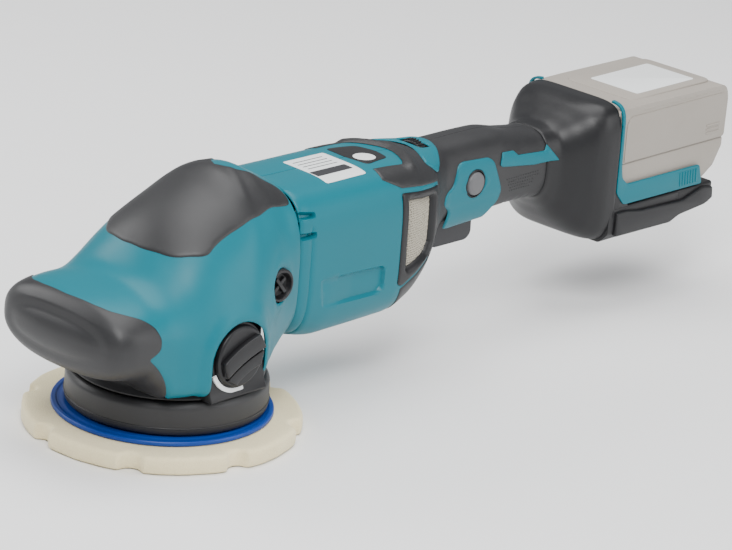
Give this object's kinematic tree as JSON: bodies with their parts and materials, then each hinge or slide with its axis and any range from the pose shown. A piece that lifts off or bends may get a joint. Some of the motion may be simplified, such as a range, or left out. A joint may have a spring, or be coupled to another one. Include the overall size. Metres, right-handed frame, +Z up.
{
  "type": "dual action polisher",
  "caption": "Battery-powered dual action polisher: round orbiting foam pad under a right-angle head, motor body, rubber handle with trigger, and a slide-on battery at the rear.",
  "frame": {"origin": "centre of the foam pad's working face, on the pad's own axis at rest", "axes": "+Z up out of the pad through the head, +X along the tool from the head to the battery, -Y the side with the mode knob"},
  "size_m": [0.5335, 0.158, 0.1468],
  "materials": {
    "teal": "satin moulded",
    "black_plastic": "fine matt texture",
    "black_rubber": "matt elastomer",
    "blue_plastic": "satin",
    "foam": "open-cell foam",
    "steel": "machined",
    "alloy": "cast",
    "copper": "wound",
    "mesh_grey": "woven mesh",
    "plate_white": "printed film, left blank",
    "dark_grey": "fine matt texture",
    "button_grey": "satin",
    "battery_grey": "satin",
    "cell_green": "wrapped cells"
  },
  "bodies": {
    "housing": {"lower_bearing": "steel", "upper_bearing": "steel", "front_motor_bearing": "steel", "rear_motor_bearing": "steel", "stator": "copper", "gear_case": "alloy", "gear_case_cover": "alloy", "mode_housing": "black_plastic", "skirt": "black_rubber", "head_cover": "teal", "head_cap": "black_rubber", "nose_grip": "black_rubber", "side_plug_left": "black_plastic", "side_plug_right": "black_plastic", "motor_housing_left": "teal", "motor_housing_right": "teal", "dust_cover_left": "black_plastic", "dust_cover_right": "black_plastic", "dust_filter_left": "mesh_grey", "dust_filter_right": "mesh_grey", "rating_plate": "plate_white", "indicator_panel": "black_plastic", "dial_bezel": "teal", "controller": "dark_grey", "grip_left": "black_rubber", "grip_right": "black_rubber", "handle_insert_left": "teal", "handle_insert_right": "teal", "grip_strip_left": "teal", "grip_strip_right": "teal", "trigger_pin": "steel", "trigger_spring": "steel", "switch_body": "dark_grey", "battery_holder": "black_plastic", "holder_trim_left": "teal", "holder_trim_right": "teal", "terminal_block": "dark_grey"},
    "spindle": {"eccentric_hub": "steel", "counterweight": "steel", "pad_bearing": "steel", "spindle": "steel", "driven_gear": "steel"},
    "pad": {"foam_pad": "foam", "backing_pad": "blue_plastic", "pad_bolt": "steel", "pad_shaft": "steel"},
    "rotor": {"rotor_shaft": "steel", "pinion": "steel", "rotor_core": "steel", "fan": "dark_grey"},
    "mode_knob": {"mode_knob": "black_plastic"},
    "mode_ring": {"mode_ring": "black_plastic"},
    "speed_dial": {"speed_dial": "black_plastic"},
    "trigger": {"trigger": "dark_grey"},
    "lock_button": {"lock_button": "button_grey"},
    "battery": {"battery_case_lower": "battery_grey", "battery_case_upper": "battery_grey", "cell_pack": "cell_green"},
    "battery_button": {"battery_button": "button_grey"}
  },
  "joints": [
    {"name": "spindle_spin", "type": "hinge", "parent": "housing", "child": "spindle", "pos_m": [0.00275, 0, 0.06], "axis": [0, 0, 1], "continuous": true},
    {"name": "pad_spin", "type": "hinge", "parent": "spindle", "child": "pad", "pos_m": [0, 0, 0.02], "axis": [0, 0, 1], "continuous": true},
    {"name": "rotor_spin", "type": "hinge", "parent": "housing", "child": "rotor", "pos_m": [0.1, 0, 0.086], "axis": [1, 0, 0], "continuous": true},
    {"name": "mode_turn", "type": "hinge", "parent": "housing", "child": "mode_knob", "pos_m": [0, -0.06, 0.057], "axis": [0, 1, 0], "range_deg": [0, 90]},
    {"name": "mode_shift", "type": "slide", "parent": "housing", "child": "mode_ring", "axis": [0, 0, -1], "range_m": [0, 0.003]},
    {"name": "dial_turn", "type": "hinge", "parent": "housing", "child": "speed_dial", "pos_m": [0.195, 0, 0.1185], "axis": [1, 0, 0], "range_deg": [-75, 75]},
    {"name": "trigger_pull", "type": "hinge", "parent": "housing", "child": "trigger", "pos_m": [0.209, 0, 0.086], "axis": [0, -1, 0], "range_deg": [0, 7], "stiffness_Nm_per_rad": 1.5, "springref_deg": -3.44, "deforming": ["trigger_spring"]},
    {"name": "lock_press", "type": "slide", "parent": "housing", "child": "lock_button", "axis": [0, 1, 0], "range_m": [0, 0.003], "stiffness_N_per_m": 400, "springref_m": -0.001},
    {"name": "battery_slide", "type": "slide", "parent": "housing", "child": "battery", "axis": [1, 0, 0], "range_m": [0, 0.115]},
    {"name": "battery_button_press", "type": "slide", "parent": "battery", "child": "battery_button", "axis": [-1, 0, 0], "range_m": [0, 0.003], "stiffness_N_per_m": 400, "springref_m": -0.001}
  ],
  "couplings": [
    {"joint": "rotor_spin", "follows": "spindle_spin", "ratio": 3.1538},
    {"joint": "mode_shift", "follows": "mode_turn", "m_per_rad": 0.00191}
  ]
}
